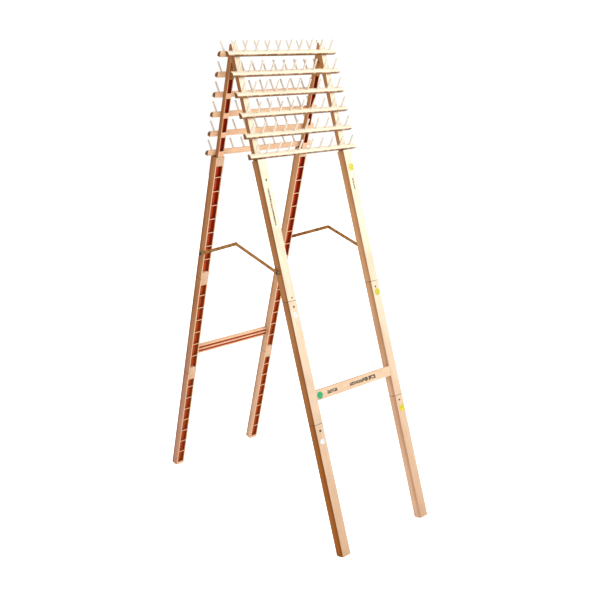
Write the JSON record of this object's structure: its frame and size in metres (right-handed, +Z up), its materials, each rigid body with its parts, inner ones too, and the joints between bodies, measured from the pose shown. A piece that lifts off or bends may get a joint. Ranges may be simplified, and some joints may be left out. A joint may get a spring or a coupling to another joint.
{
  "type": "thread spool stand",
  "caption": "Folding A-frame stand in pale wood with two racks of slim pegs for thread spools, low crossbars and jointed side stays.",
  "frame": {"origin": "floor point below the hinge line, midway between the four feet", "axes": "+X to the right, -Y to the front, +Z up"},
  "size_m": [0.4, 0.8656, 1.4109],
  "materials": {
    "pale_wood": "sanded, unvarnished",
    "red_lining": "matt",
    "bronzed_metal": "satin, bronzed",
    "plated_steel": "plated",
    "sticker_paper": "matt"
  },
  "bodies": {
    "front_frame": {"front_left_leg_top": "pale_wood", "front_left_leg_upper": "pale_wood", "front_left_leg_lower": "pale_wood", "front_left_leg_foot": "pale_wood", "front_right_leg_top": "pale_wood", "front_right_leg_upper": "pale_wood", "front_right_leg_lower": "pale_wood", "front_right_leg_foot": "pale_wood", "front_leg_blocks": "pale_wood", "front_linings": "red_lining", "front_crossbar": "pale_wood", "front_crossbar_dowels": "pale_wood", "front_rail_1": "pale_wood", "front_rail_2": "pale_wood", "front_rail_3": "pale_wood", "front_rail_4": "pale_wood", "front_rail_5": "pale_wood", "front_rail_6": "pale_wood", "front_pegs": "pale_wood", "front_rail_screws": "plated_steel", "left_front_leaf": "bronzed_metal", "right_front_leaf": "bronzed_metal", "front_hinge_screws": "bronzed_metal", "front_pivot_screws": "plated_steel", "hinge_pins": "bronzed_metal", "front_pivot_spacers": "plated_steel", "stickers": "sticker_paper"},
    "rear_frame": {"rear_left_leg_top": "pale_wood", "rear_left_leg_upper": "pale_wood", "rear_left_leg_lower": "pale_wood", "rear_left_leg_foot": "pale_wood", "rear_right_leg_top": "pale_wood", "rear_right_leg_upper": "pale_wood", "rear_right_leg_lower": "pale_wood", "rear_right_leg_foot": "pale_wood", "rear_leg_blocks": "pale_wood", "rear_linings": "red_lining", "rear_crossbar": "pale_wood", "rear_crossbar_dowels": "pale_wood", "rear_rail_1": "pale_wood", "rear_rail_2": "pale_wood", "rear_rail_3": "pale_wood", "rear_rail_4": "pale_wood", "rear_rail_5": "pale_wood", "rear_rail_6": "pale_wood", "rear_pegs": "pale_wood", "rear_rail_screws": "plated_steel", "left_rear_leaf": "bronzed_metal", "right_rear_leaf": "bronzed_metal", "rear_hinge_screws": "bronzed_metal", "rear_pivot_screws": "plated_steel", "rear_pivot_washers": "plated_steel"},
    "left_front_link": {"left_front_link": "bronzed_metal", "left_elbow_rivet": "bronzed_metal"},
    "right_front_link": {"right_front_link": "bronzed_metal", "right_elbow_rivet": "bronzed_metal"},
    "left_rear_link": {"left_rear_link": "bronzed_metal", "left_elbow_button": "bronzed_metal"},
    "right_rear_link": {"right_rear_link": "bronzed_metal", "right_elbow_button": "bronzed_metal"}
  },
  "joints": [
    {"name": "frame_fold", "type": "hinge", "parent": "front_frame", "child": "rear_frame", "pos_m": [0, 0, 1.352], "axis": [-1, 0, 0], "range_deg": [0, 33]},
    {"name": "left_front_link_pivot", "type": "hinge", "parent": "front_frame", "child": "left_front_link", "pos_m": [-0.1833, -0.18637, 0.7846], "axis": [1, 0, 0], "range_deg": [0, 51.39]},
    {"name": "left_rear_link_pivot", "type": "hinge", "parent": "rear_frame", "child": "left_rear_link", "pos_m": [-0.1808, 0.18637, 0.7846], "axis": [-1, 0, 0], "range_deg": [0, 51.39]},
    {"name": "right_front_link_pivot", "type": "hinge", "parent": "front_frame", "child": "right_front_link", "pos_m": [0.1833, -0.18637, 0.7846], "axis": [1, 0, 0], "range_deg": [0, 51.39]},
    {"name": "right_rear_link_pivot", "type": "hinge", "parent": "rear_frame", "child": "right_rear_link", "pos_m": [0.1808, 0.18637, 0.7846], "axis": [-1, 0, 0], "range_deg": [0, 51.39]}
  ],
  "couplings": [
    {"joint": "left_front_link_pivot", "follows": "frame_fold", "ratio": 1.5556},
    {"joint": "left_rear_link_pivot", "follows": "frame_fold", "ratio": 1.5556},
    {"joint": "right_front_link_pivot", "follows": "frame_fold", "ratio": 1.5556},
    {"joint": "right_rear_link_pivot", "follows": "frame_fold", "ratio": 1.5556}
  ]
}
